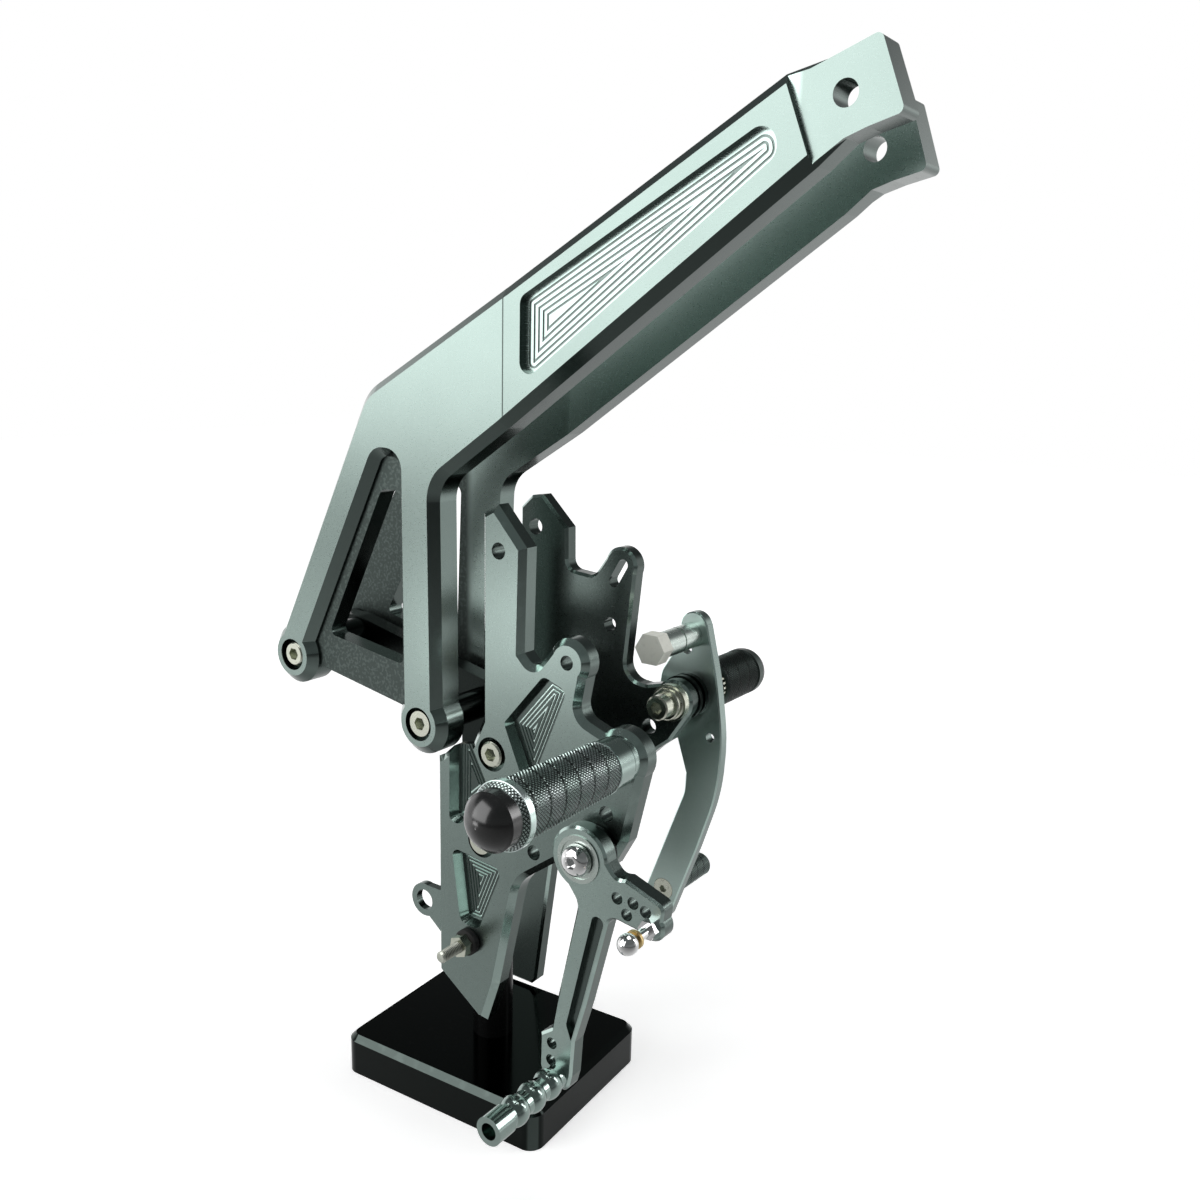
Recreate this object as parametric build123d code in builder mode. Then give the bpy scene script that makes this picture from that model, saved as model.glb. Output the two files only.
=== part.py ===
"""Pair of motorcycle rear sets with their subframe arms, standing on a display base.

X runs fore and aft along the plates, Y runs across from the left (shift) side to the
right (brake) side, Z is up. The origin is the middle of the base's underside. All sizes
are millimetres. Most pieces are flat plates, so their outlines are drawn in X and Z.
"""

import os
from math import cos, radians, sin, tan

from build123d import *

# Stand
base_length = 129
base_width = 101
base_height = 22
base_corner = 8
base_bevel = 3
base_turn = 2.8
post_diameter = 22
post_top = 178
outline_drop = 172
spigot_diameter = 12
spigot_length = 11
fork_depth = 36
head_thickness = 10
head_boss = 13

# Metric fasteners
bolt_size = 8
bolt_hole = 8.5
tapped_hole = 8.2
head_diameter = 13
head_height = 8
socket_size = 6
counterbore = 17
screw_size = 6
screw_hole = 6.4
screw_head = 10
bolt_bite = 9

# Running gaps
journal_gap = 0.05
side_gap = 0.2
seat_gap = 0.1

# Subframe arms: outer face of the left arm, inner face of the right arm
arm_thickness = 16
left_arm_face = -52
right_arm_inner = 11.5
arm_bevel = 4.5
beam_slope = 0.06
bend_x = 48
bend_top = 415.6
beam_angle = 30.85
beam_length = 180.8
arm_boss = 16
front_bolt = (-96.6, 226.8)
rear_bolt = (-5, 206.8)
right_arm_turn = 2.4
groove_depth = 0.5
right_arm_shift = (-17, -3.6)
web_depth = 6
beam_pocket_depth = 4
pad_face = -41
pad_length = 36.3
pad_corner = 2.5
pad_hole = 10
front_spacer_diameter = 24
rear_spacer_diameter = 16
arm_counterbore_depth = 9
window_corner = 3

# Left plate
left_plate_thickness = 10
left_plate_face = -44
plate_counterbore_depth = 7
left_plate_bevel = 3
upper_plate_bolt = (35.5, 198)
lower_plate_bolt = (29, 151.5)
plate_spacer_diameter = 18
plate_pocket_depth = 5
plate_pocket_flare = 22
plate_groove_pitch = 1.8
stop_place = (21.5, 95.5)
stop_reach = 22
stop_washer_diameter = 13.5
stop_washer_thickness = 4
nut_thickness = 5
nut_width = 10
ear_place = (-15.2, 104.3)
ear_radius = 9
ear_hole = 11
ear_thickness = 4
tapped_places = [(61.8, 154.5), (103, 184.8)]
tapped_small = 7.5
strip_hole_place = (39.4, 297.8)
strip_hole = 8
boss_hole_place = (79.5, 251.3)
boss_hole = 7

# Left peg
left_peg_place = (109.2, 212.3)
left_peg_boss = 13.5
peg_diameter = 26
barrel_root = 24.4
barrel_tip = 27.2
flange_diameter = 29
collar_steps = [(22, 3), (20.5, 1), (23, 9.5), (23.8, 1.5)]
barrel_length = 62
flange_length = 4
flange_cone = 2.4
cap_diameter = 24.6
cap_length = 13
cap_side = 6.5
cap_spigot = 14
cap_spigot_length = 4
peg_bolt_pocket = 15
peg_bolt_pocket_depth = 16

# Shift lever
pivot_place = (98.3, 166.8)
lever_thickness = 8
lever_spacer_length = 6
lever_spacer_diameter = 24
lever_hub = 15.3
bearing_diameter = 22.6
bearing_proud = 0.6
button_diameter = 15
button_height = 5.5
lever_bevel = 1.2
lever_hole = 5.8
lever_recess_depth = 3
stud_place = (137.5, 146)
stud_boss = 6.6
stud_shank = 5
ball_diameter = 9.5
ball_reach = 18
toe_place = (88.5, 53.8)
toe_length = 50
toe_tube = 13.6
toe_bore = 8
toe_neck = 11.4
toe_bead = 14.4

# Right plate, brake pedal and right peg
right_plate_inner = 46
right_peg_place = (82, 212)
right_peg_boss = 11.3
right_plate_bevel = 1.5
right_plate_thickness = 8
right_upper_bolt = (10, 186)
right_lower_bolt = (40, 172)
stepped_washer_length = 8
pedal_thickness = 6
pedal_flange_length = 8
pedal_flange = 24
journal_diameter = 12
bush_diameter = 18
right_collar_length = 11.5
right_collar_diameter = 20
tooth_ring_length = 3
tooth_ring_diameter = 23
tooth_count = 28
right_barrel_length = 35
right_band_length = 5
right_band_groove = 23
right_cap_length = 5
right_cap_diameter = 25
pedal_top_place = (83.3, 249)
linkage_place = (82, 244.5)
linkage_head = 15
linkage_head_height = 9
linkage_sleeve_length = 31.5
linkage_sleeve = 13.5
pedal_toe_place = (70.5, 97)
pedal_toe_diameter = 13.5
pedal_toe_length = 36


rise = post_top - outline_drop


def side_plane(y):
    """Plane of a plate's face at this Y, with its zero level held by the post's top."""
    return Plane(origin=(0, y, rise), x_dir=(1, 0, 0), z_dir=(0, -1, 0))


def rounded(corners):
    """Face inside a closed outline given as (x, z, corner radius)."""
    with BuildLine() as edge:
        FilletPolyline(
            *[(x, z) for x, z, r in corners],
            radius=[r for x, z, r in corners],
            close=True,
        )
    make_face(edge.edges())


def discs(y, places, diameter, length, mode=Mode.ADD):
    """Round bars along Y that start at y and run towards the left side."""
    with BuildSketch(side_plane(y)) as ends:
        with Locations(*places):
            Circle(diameter / 2)
    extrude(ends.sketch, amount=length, mode=mode)


def turned(place, start, profile):
    """Turned body along Y, from corners given as (distance to the left, radius)."""
    centre = (place[0], start, place[1] + rise)
    with BuildSketch(Plane(origin=centre, x_dir=(0, -1, 0), z_dir=(1, 0, 0))) as half:
        with BuildLine() as edge:
            Polyline((profile[0][0], 0), *profile, (profile[-1][0], 0), close=True)
        make_face(edge.edges())
    revolve(half.sketch, axis=Axis(centre, (0, -1, 0)))


def through_holes(places, diameter):
    """Round holes along Y right through the piece in hand."""
    with BuildSketch(side_plane(0)) as holes:
        with Locations(*places):
            Circle(diameter / 2)
    extrude(holes.sketch, amount=400, both=True, mode=Mode.SUBTRACT)


def socket_bolts(places, seat, length, way=1):
    """Socket-head bolts seated at Y = seat, with heads to the left for way = 1."""
    with BuildPart() as bolts:
        discs(seat, places, head_diameter, way * head_height)
        chamfer(bolts.faces().sort_by(Axis.Y)[0 if way > 0 else -1].edges(), 0.8)
        discs(seat, places, bolt_size, -way * length)
        with BuildSketch(side_plane(seat - way * head_height)):
            with Locations(*places):
                RegularPolygon(socket_size / 2, 6, major_radius=False)
        extrude(amount=-way * head_height * 0.55, mode=Mode.SUBTRACT)
    return bolts.part


def spacers(places, start, end, diameter):
    """Round spacers with a clearance hole, from Y = start to Y = end."""
    with BuildPart() as tubes:
        discs(end, places, diameter, end - start)
        chamfer(tubes.edges().filter_by(GeomType.CIRCLE), 0.6)
        through_holes(places, bolt_hole)
    return tubes.part


def grooved_pocket(plane, corners, depth, grooves, pitch, flare=0):
    """Pocket with walls flared by an angle, and nested contour grooves in its floor."""
    with BuildSketch(plane) as mouth:
        rounded(corners)
    extrude(mouth.sketch, amount=-depth, taper=flare, mode=Mode.SUBTRACT)
    wall = depth * tan(radians(flare))
    for step in range(1, grooves + 1):
        with BuildSketch(plane.offset(-depth)) as ring:
            rounded(corners)
            offset(amount=-wall - step * pitch, kind=Kind.INTERSECTION, mode=Mode.REPLACE)
            offset(amount=-0.45 * pitch, kind=Kind.INTERSECTION, mode=Mode.SUBTRACT)
        extrude(ring.sketch, amount=-groove_depth, mode=Mode.SUBTRACT)


def save(part, name):
    """Label one piece and write it to its own file."""
    part.label = name
    export_step(part, f"parts/{name}.step")


os.makedirs("parts", exist_ok=True)

# Base: black plate with rounded corners, turned a little under the post
with BuildPart() as base:
    with BuildSketch(Plane.XY.rotated((0, 0, base_turn))):
        RectangleRounded(base_length, base_width, base_corner)
    extrude(amount=base_height)
    chamfer(base.faces().sort_by(Axis.Z)[-1].edges(), base_bevel)
    with BuildSketch(Plane.XY.offset(base_height)):
        Circle(spigot_diameter / 2 + seat_gap)
    extrude(amount=-spigot_length - 2 * seat_gap, mode=Mode.SUBTRACT)
save(base.part, "base")

# Post: round bar with a spigot in the base and a slot across its top for the stand head
fork_place = (0, outline_drop - fork_depth / 2)
post_flat = post_diameter / 2 - 1
right_plate_places = [right_upper_bolt, right_lower_bolt]
lowest_boss = min(lower_plate_bolt[1], right_lower_bolt[1]) - head_boss
slot_depth = max(fork_depth, outline_drop - lowest_boss) + seat_gap
with BuildPart() as post:
    with BuildSketch(Plane.XY.offset(base_height)):
        Circle(post_diameter / 2)
    extrude(amount=post_top - base_height)
    chamfer(post.faces().sort_by(Axis.Z)[-1].edges(), 1)
    with BuildSketch(Plane.XY.offset(post_top)):
        Rectangle(2 * post_diameter, head_thickness + 2 * seat_gap)
    extrude(amount=-slot_depth, mode=Mode.SUBTRACT)
    with BuildSketch(Plane.XY.offset(base_height)):
        Circle(spigot_diameter / 2)
    extrude(amount=-spigot_length)
    through_holes([fork_place], screw_hole)
    discs(post_diameter + post_flat, [fork_place], screw_head + 2, post_diameter, Mode.SUBTRACT)
    discs(-post_flat, [fork_place], screw_head + 2, post_diameter, Mode.SUBTRACT)
    discs(post_diameter, right_plate_places, plate_spacer_diameter + 2 * seat_gap,
          post_diameter - head_thickness / 2, Mode.SUBTRACT)
save(post.part, "post")

# The right arm is the left one's mirror image, turned about its rear bolt and shifted
turn_height = rear_bolt[1] + rise
right_arm_move = (
    Pos(rear_bolt[0] + right_arm_shift[0], 0, turn_height + right_arm_shift[1])
    * Rotation(0, right_arm_turn, 0)
    * Pos(-rear_bolt[0], right_arm_inner + left_arm_face + arm_thickness, -turn_height)
)


def on_right_arm(place):
    """Where a point (x, z) of the left arm lies on the right arm."""
    moved = (right_arm_move * Pos(place[0], 0, place[1] + rise)).position
    return (moved.X, moved.Z - rise)


left_arm_places = [front_bolt, rear_bolt]
right_arm_places = [on_right_arm(front_bolt), on_right_arm(rear_bolt)]
left_plate_places = [upper_plate_bolt, lower_plate_bolt]

# Stand head: flat carrier that both sides are bolted to
head_side = head_thickness / 2
with BuildPart() as stand_head:
    with BuildSketch(side_plane(head_side)):
        with Locations(*left_arm_places, *right_arm_places):
            Circle(head_boss)
        make_hull()
    with BuildSketch(side_plane(head_side)):
        with Locations(*left_plate_places, *right_plate_places, rear_bolt):
            Circle(head_boss)
        with Locations(fork_place):
            Rectangle(1.6 * post_diameter, fork_depth)
        make_hull()
    extrude(amount=head_thickness)
    through_holes(
        left_arm_places + right_arm_places + left_plate_places + right_plate_places, tapped_hole
    )
    through_holes([fork_place], screw_hole)
save(stand_head.part, "stand_head")

# Fork screw and nut: hold the stand head in the post's slot
with BuildPart() as fork_screw:
    discs(post_flat + nut_thickness, [fork_place], screw_head, nut_thickness)
    discs(post_flat, [fork_place], screw_size, 2 * post_flat + nut_thickness)
save(fork_screw.part, "fork_screw")
with BuildPart() as fork_nut:
    with BuildSketch(side_plane(-post_flat)):
        with Locations(fork_place):
            RegularPolygon(nut_width / 2, 6, major_radius=False)
            Circle((screw_size + seat_gap) / 2, mode=Mode.SUBTRACT)
    extrude(amount=nut_thickness)
save(fork_nut.part, "fork_nut")

# Left arm: slab machined to an A-shaped lower frame and a long beam leaning inwards
arm_inner = left_arm_face + arm_thickness
pad_start = beam_length - pad_length


def beam_point(along, across, radius=0):
    """Outline corner this far along and across the beam from the bend's top."""
    turn = radians(beam_angle)
    return (
        bend_x + along * cos(turn) - across * sin(turn),
        bend_top + along * sin(turn) + across * cos(turn),
        radius,
    )


def leaning_slab(corners, bosses):
    """Slab of the arm's thickness, leaning inwards past the bend, cut to an outline."""
    end_x = bend_x + beam_length
    lean = beam_slope * beam_length
    with BuildPart() as slab:
        with BuildSketch(Plane.XY) as profile:
            with BuildLine() as edge:
                Polyline(
                    (-130, left_arm_face),
                    (bend_x, left_arm_face),
                    (end_x, left_arm_face + lean),
                    (end_x, arm_inner + lean),
                    (bend_x, arm_inner),
                    (-130, arm_inner),
                    close=True,
                )
            make_face(edge.edges())
        extrude(profile.sketch, amount=600)
        with BuildSketch(side_plane(0)) as outline:
            rounded(corners)
            for place in bosses:
                with Locations(place):
                    Circle(arm_boss)
        extrude(outline.sketch, amount=400, both=True, mode=Mode.INTERSECT)
    return slab.part


# Flat pad at the beam's end, thinner than the beam and without a bevel
with BuildPart() as arm_pad:
    add(leaning_slab([
        beam_point(pad_start, -2.7), beam_point(beam_length, -9.4, pad_corner),
        beam_point(beam_length - 5, -38.3, pad_corner), beam_point(beam_length - 18.6, -34.7),
        beam_point(beam_length - 27.9, -33), beam_point(beam_length - 41.8, -34),
    ], []))
    split(bisect_by=side_plane(pad_face), keep=Keep.BOTTOM)
pad_place = beam_point(beam_length - 20.2, -19.8)[:2]

with BuildPart() as left_arm:
    add(leaning_slab([
        (-109.3, 233.4, 0), (-39.8, 367.4, 24), (bend_x, bend_top, 0), beam_point(pad_start, 0),
        beam_point(beam_length - 9, -8.5), beam_point(beam_length - 11, -30),
        beam_point(beam_length - 41, -35.5), (bend_x, 354.4, 0), (6.5, 326.3, 16),
        (7.5, 206, 0), (-18.4, 206, 0), (-18.5, 337, 6), (-30.8, 337, 6), (-91.5, 219, 0),
    ], left_arm_places))
    fronts = left_arm.faces().sort_by(Axis.Y)[:2]
    bend = left_arm.edges().filter_by(Axis.Z).filter_by_position(Axis.X, bend_x - 1, bend_x + 1)
    rim = ShapeList(e for f in fronts for e in f.edges() if e not in bend)
    chamfer(rim, arm_bevel)
    # Sunk web between the two legs, with its triangular window
    with BuildSketch(side_plane(arm_inner)):
        rounded([
            (-100, 226, 0), (-36, 345, 0), (-10, 345, 0), (-2, 207, 0), (-22.4, 212.4, 0),
            (-77.9, 221.9, 0),
        ])
    extrude(amount=arm_thickness - web_depth)
    with BuildSketch(side_plane(arm_inner)):
        rounded([
            (-33.5, 320.5, 5), (-20.4, 320.5, 5), (-20.3, 233.3, window_corner),
            (-73.5, 241, window_corner),
        ])
    extrude(amount=arm_thickness, mode=Mode.SUBTRACT)
    # Tapered pocket along the beam, sunk square to the beam's leaning face
    beam_plane = Plane(
        origin=(bend_x, left_arm_face, rise), x_dir=(1, beam_slope, 0), z_dir=(beam_slope, -1, 0)
    )
    beam_pocket = [
        beam_point(5.3, -8.7, 5), beam_point(beam_length - 45.3, -11.1, 6.5),
        beam_point(beam_length - 50.4, -24.4, 6.5), beam_point(-13.8, -40.6, 5),
    ]
    grooved_pocket(
        beam_plane, [(x - bend_x, z, r) for x, z, r in beam_pocket], beam_pocket_depth, 5, 2.3
    )
    # The beam's front is cut back to the pad, and the pad joined on
    with BuildSketch(side_plane(pad_face)):
        rounded([
            beam_point(pad_start + 2.3, 10), beam_point(beam_length + 20, 10),
            beam_point(beam_length + 20, -50), beam_point(pad_start - 8.6, -50),
        ])
    extrude(amount=arm_thickness, mode=Mode.SUBTRACT)
    add(arm_pad.part)
    through_holes([pad_place], pad_hole)
    through_holes(left_arm_places, bolt_hole)
    discs(left_arm_face + arm_counterbore_depth, left_arm_places, counterbore,
          arm_counterbore_depth + 1, Mode.SUBTRACT)
save(left_arm.part, "left_arm")

# Right arm: mirror image of the left one
with BuildPart() as right_arm:
    add(right_arm_move * left_arm.part.mirror(Plane.XZ))
save(right_arm.part, "right_arm")

# Arm bolts and spacers
right_arm_outer = right_arm_inner + arm_thickness
left_arm_seat = left_arm_face + arm_counterbore_depth
right_arm_seat = right_arm_outer - arm_counterbore_depth
save(
    socket_bolts(left_arm_places, left_arm_seat, bolt_bite - head_side - left_arm_seat),
    "left_arm_bolts",
)
save(
    socket_bolts(right_arm_places, right_arm_seat, right_arm_seat - head_side + bolt_bite, -1),
    "right_arm_bolts",
)
save(spacers([front_bolt], arm_inner, -head_side, front_spacer_diameter), "left_front_spacer")
save(spacers([rear_bolt], arm_inner, -head_side, rear_spacer_diameter), "left_rear_spacer")
save(
    spacers(right_arm_places[:1], head_side, right_arm_inner, front_spacer_diameter),
    "right_front_spacer",
)
save(
    spacers(right_arm_places[1:], head_side, right_arm_inner, rear_spacer_diameter),
    "right_rear_spacer",
)

# Left plate: strip at the top, grooved pockets, hole boss, peg boss, pointed leg and ear
left_plate_inner = left_plate_face + left_plate_thickness
with BuildPart() as left_plate:
    with BuildSketch(side_plane(left_plate_inner)):
        rounded([
            (28.5, 314.5, 0), (37, 319, 0), (54, 300.5, 0), (53, 251, 0), (60, 244, 5),
            (70.5, 257, 0), (89.3, 249, 0), (85, 227, 8), (100.5, 221.5, 0), (121.5, 208, 0),
            (113.5, 172.9, 0), (106.2, 159.5, 0), (78, 155.5, 8), (51.5, 136, 20),
            (38.7, 76, 0), (31, 53, 0), (26.5, 53, 0), (-1, 71.5, 0), (-1, 188.5, 0),
            (3, 190.5, 0), (9, 196, 0), (21.5, 199, 5), (28.5, 214, 0),
        ])
        with Locations(left_peg_place):
            Circle(left_peg_boss)
        with Locations(boss_hole_place):
            Circle(11)
    extrude(amount=left_plate_thickness)
    chamfer(left_plate.faces().sort_by(Axis.Y)[0].edges(), left_plate_bevel)
    with BuildSketch(side_plane(left_plate_inner)):
        with Locations(ear_place):
            Circle(ear_radius)
        rounded([(-14, 113, 0), (2, 113, 0), (2, 85, 0), (-12, 96, 0)])
    extrude(amount=ear_thickness)
    grooved_pocket(
        side_plane(left_plate_face),
        [(43, 215.5, 3), (66.3, 242.8, 4), (80, 238, 4), (57.5, 183, 4)],
        plate_pocket_depth, 5, plate_groove_pitch, plate_pocket_flare,
    )
    grooved_pocket(
        side_plane(left_plate_face),
        [(8.5, 203, 4), (19.5, 206, 4), (36, 176, 4), (14, 156, 5), (8, 158, 3)],
        plate_pocket_depth, 4, plate_groove_pitch, plate_pocket_flare,
    )
    grooved_pocket(
        side_plane(left_plate_face),
        [(9.5, 143.2, 4), (42.5, 139.8, 4), (27.3, 103.2, 5), (15, 103.8, 5)],
        plate_pocket_depth, 5, plate_groove_pitch, plate_pocket_flare,
    )
    through_holes([strip_hole_place], strip_hole)
    through_holes([boss_hole_place], boss_hole)
    through_holes(tapped_places, tapped_small)
    through_holes([ear_place], ear_hole)
    through_holes([stop_place], screw_hole)
    through_holes(left_plate_places, bolt_hole)
    through_holes([left_peg_place, pivot_place], tapped_hole)
    discs(left_plate_face + plate_counterbore_depth, left_plate_places, counterbore,
          plate_counterbore_depth + 1, Mode.SUBTRACT)
save(left_plate.part, "left_plate")

left_plate_seat = left_plate_face + plate_counterbore_depth
save(
    socket_bolts(left_plate_places, left_plate_seat, bolt_bite - head_side - left_plate_seat),
    "left_plate_bolts",
)
save(
    spacers(left_plate_places, left_plate_inner, -head_side, plate_spacer_diameter),
    "left_plate_spacers",
)

# Stop: rubber washer held by a nut on a long stud
washer_face = left_plate_face - stop_washer_thickness
with BuildPart() as stop_washer:
    discs(left_plate_face, [stop_place], stop_washer_diameter, stop_washer_thickness)
    chamfer(stop_washer.edges().filter_by(GeomType.CIRCLE), 0.7)
    through_holes([stop_place], screw_hole)
save(stop_washer.part, "stop_washer")
with BuildPart() as stop_nut:
    with BuildSketch(side_plane(washer_face)):
        with Locations(stop_place):
            RegularPolygon(nut_width / 2, 6, major_radius=False, rotation=20)
            Circle((screw_size + seat_gap) / 2, mode=Mode.SUBTRACT)
    extrude(amount=nut_thickness)
save(stop_nut.part, "stop_nut")
with BuildPart() as stop_stud:
    discs(left_plate_inner, [stop_place], screw_size, left_plate_thickness + stop_reach)
    chamfer(stop_stud.faces().sort_by(Axis.Y)[0].edges(), 0.8)
save(stop_stud.part, "stop_stud")

# Left peg: stepped collar, barrel with a coned end flange, domed cap, bolt inside
with BuildPart() as left_peg_collar:
    step_y = left_plate_face
    for diameter, length in collar_steps:
        discs(step_y, [left_peg_place], diameter, length)
        step_y -= length
    through_holes([left_peg_place], bolt_hole)
save(left_peg_collar.part, "left_peg_collar")

barrel_inner = step_y
flange_inner = barrel_inner - barrel_length
barrel_outer = flange_inner - flange_length - flange_cone
peg_bolt_seat = barrel_outer + peg_bolt_pocket_depth
with BuildPart() as left_peg_barrel:
    turned(left_peg_place, barrel_inner, [
        (0, barrel_root / 2 - 0.8), (0.8, barrel_root / 2), (barrel_length, barrel_tip / 2),
        (barrel_length, flange_diameter / 2 - 0.8), (barrel_length + 0.8, flange_diameter / 2),
        (barrel_length + flange_length, flange_diameter / 2),
        (barrel_length + flange_length + flange_cone, cap_diameter / 2),
    ])
    through_holes([left_peg_place], bolt_hole)
    discs(peg_bolt_seat, [left_peg_place], peg_bolt_pocket, peg_bolt_pocket_depth, Mode.SUBTRACT)
save(left_peg_barrel.part, "left_peg_barrel")
cap_centre = (left_peg_place[0], barrel_outer, left_peg_place[1] + rise)
with BuildPart() as left_peg_cap:
    with BuildSketch(Plane(origin=cap_centre, x_dir=(0, -1, 0), z_dir=(1, 0, 0))):
        with BuildLine():
            Polyline((cap_length, 0), (0, 0), (0, cap_diameter / 2),
                     (cap_side - 1, cap_diameter / 2), (cap_side, cap_diameter / 2 - 0.8))
            TangentArc((cap_length, 0), (cap_side, cap_diameter / 2 - 0.8), tangent=(0, 1))
        make_face()
    revolve(axis=Axis(cap_centre, (0, -1, 0)))
    discs(barrel_outer + cap_spigot_length, [left_peg_place], cap_spigot, cap_spigot_length)
save(left_peg_cap.part, "left_peg_cap")
save(
    socket_bolts([left_peg_place], peg_bolt_seat, left_plate_inner - peg_bolt_seat),
    "left_peg_bolt",
)

# Shift lever: hub, linkage arm with a row of holes, down arm with a long recess
spacer_outer = left_plate_face - lever_spacer_length
lever_inner = spacer_outer - side_gap
lever_face = lever_inner - lever_thickness
with BuildPart() as lever_spacer:
    discs(left_plate_face, [pivot_place], lever_spacer_diameter, lever_spacer_length)
    chamfer(lever_spacer.edges().filter_by(GeomType.CIRCLE), 0.8)
    through_holes([pivot_place], bolt_hole)
save(lever_spacer.part, "lever_spacer")

with BuildPart() as shift_lever:
    with BuildSketch(side_plane(lever_inner)):
        rounded([
            (88, 158, 0), (98.2, 145, 8), (87, 92, 0), (84.3, 77, 0), (77.9, 72.3, 0),
            (77.6, 55, 5), (84, 46.5, 5), (94, 47, 5), (96.3, 56, 0), (97.5, 74.5, 0),
            (103.4, 95, 0), (115.5, 144, 5), (133.5, 141.5, 0), (142.8, 148.5, 0),
            (143.8, 157, 4), (123.5, 164, 0), (118.5, 163, 5), (106.5, 176.5, 0),
        ])
        with Locations(pivot_place):
            Circle(lever_hub)
        with Locations(stud_place):
            Circle(stud_boss)
    extrude(amount=lever_thickness)
    chamfer(shift_lever.faces().sort_by(Axis.Y)[0].edges(), lever_bevel)
    through_holes([pivot_place], bearing_diameter + 2 * journal_gap)
    through_holes([(119.5, 154.3), (127.9, 154.4), (124.8, 148), (134.5, 152.3)], lever_hole)
    through_holes([(84.9, 69.6), (84.6, 60.6)], lever_hole)
    through_holes([stud_place], stud_shank)
    through_holes([toe_place], screw_hole)
    with BuildSketch(side_plane(lever_face)):
        rounded([
            (106.8, 142.5, 3), (113.3, 141.5, 3), (101.7, 95.5, 0), (95.9, 75, 0),
            (93, 82.5, 3), (96.8, 99, 0),
        ])
    extrude(amount=-lever_recess_depth, mode=Mode.SUBTRACT)
save(shift_lever.part, "shift_lever")

with BuildPart() as lever_bearing:
    discs(lever_inner, [pivot_place], bearing_diameter, lever_thickness + bearing_proud)
    through_holes([pivot_place], bolt_size + 2 * journal_gap)
    with BuildSketch(side_plane(lever_face - bearing_proud)):
        with Locations(pivot_place):
            Circle(bearing_diameter / 2 - 2)
            Circle(bearing_diameter / 2 - 4.5, mode=Mode.SUBTRACT)
    extrude(amount=-bearing_proud, mode=Mode.SUBTRACT)
save(lever_bearing.part, "lever_bearing")

button_seat = lever_face - bearing_proud - side_gap
with BuildPart() as lever_bolt:
    discs(button_seat, [pivot_place], button_diameter, button_height)
    fillet(lever_bolt.faces().sort_by(Axis.Y)[0].edges(), button_height * 0.85)
    discs(left_plate_inner, [pivot_place], bolt_size, left_plate_inner - button_seat)
    with BuildSketch(side_plane(button_seat - button_height)):
        with Locations(pivot_place):
            RegularPolygon(2.5, 6, major_radius=False)
    extrude(amount=-button_height * 0.6, mode=Mode.SUBTRACT)
save(lever_bolt.part, "lever_bolt")

# Ball stud for the shift linkage, with the brass ring behind its ball
ball_y = lever_face - ball_reach
ring_y = ball_y + ball_diameter / 2 + 1.2
with BuildPart() as ball_stud:
    discs(lever_inner, [stud_place], stud_shank - seat_gap, lever_inner - ball_y)
    with BuildSketch(side_plane(lever_face)):
        with Locations(stud_place):
            RegularPolygon(4, 6, major_radius=False)
    extrude(amount=3.5)
    with Locations((stud_place[0], ball_y, stud_place[1] + rise)):
        Sphere(ball_diameter / 2)
save(ball_stud.part, "ball_stud")
with BuildPart() as stud_washer:
    discs(ring_y, [stud_place], 8.5, 1.5)
    through_holes([stud_place], stud_shank)
save(stud_washer.part, "stud_washer")

# Beaded toe peg of the shift lever, open at its end
bead_pitch = 12
with BuildPart() as shift_toe_peg:
    discs(lever_face, [toe_place], toe_neck, toe_length - 4)
    for bead in range(3):
        bead_y = lever_face - 8 - bead * bead_pitch
        with Locations((toe_place[0], bead_y, toe_place[1] + rise)):
            Sphere(toe_bead / 2)
    discs(lever_face - toe_length + 11, [toe_place], toe_tube, 11)
    split(bisect_by=side_plane(lever_face))
    discs(lever_face - toe_length + 12, [toe_place], toe_bore, 12, Mode.SUBTRACT)
    discs(lever_face, [toe_place], screw_size + seat_gap, 12, Mode.SUBTRACT)
save(shift_toe_peg.part, "shift_toe_peg")
with BuildPart() as shift_toe_screw:
    discs(lever_inner + 4, [toe_place], screw_head, 4)
    discs(lever_inner, [toe_place], screw_size, lever_thickness + 11)
save(shift_toe_screw.part, "shift_toe_screw")

# Right plate: hooked top, slotted ear, peg boss and lower leg
right_plate_outer = right_plate_inner + right_plate_thickness
with BuildPart() as right_plate:
    with BuildSketch(side_plane(right_plate_outer)):
        rounded([
            (-20, 304, 0), (-12.5, 311, 0), (-5, 312, 0), (12, 295.5, 0), (12.5, 273, 6),
            (30, 271.5, 6), (39.5, 285, 0), (56.5, 277, 0), (50.8, 219, 10), (65, 217.5, 6),
            (74.5, 220, 0), (91.5, 206.2, 0), (81, 190, 0), (73.5, 184, 0), (50, 160, 0),
            (28, 125, 0), (4.5, 100, 0), (-6, 21, 0), (-9.5, 17.5, 0), (-25, 17.5, 0),
            (-25, 230, 0), (-20, 250, 0),
        ])
        with Locations((47, 279)):
            Circle(10)
        with Locations(right_peg_place):
            Circle(right_peg_boss)
    extrude(amount=right_plate_thickness)
    chamfer(right_plate.faces().sort_by(Axis.Y)[0].edges(), right_plate_bevel)
    through_holes([(-9.3, 294)], 9)
    through_holes([(41.4, 246.9)], 7.5)
    through_holes([(68, 195.5)], 8.5)
    through_holes(right_plate_places + [right_peg_place], bolt_hole)
    with BuildSketch(side_plane(0)):
        with Locations(Location((46, 275, 0), (0, 0, 60))):
            SlotOverall(17, 6)
    extrude(amount=100, both=True, mode=Mode.SUBTRACT)
save(right_plate.part, "right_plate")

save(
    socket_bolts(
        right_plate_places, right_plate_outer, right_plate_outer - head_side + bolt_bite, -1
    ),
    "right_plate_bolts",
)
save(
    spacers(right_plate_places, head_side, right_plate_inner, plate_spacer_diameter),
    "right_plate_spacers",
)

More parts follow.
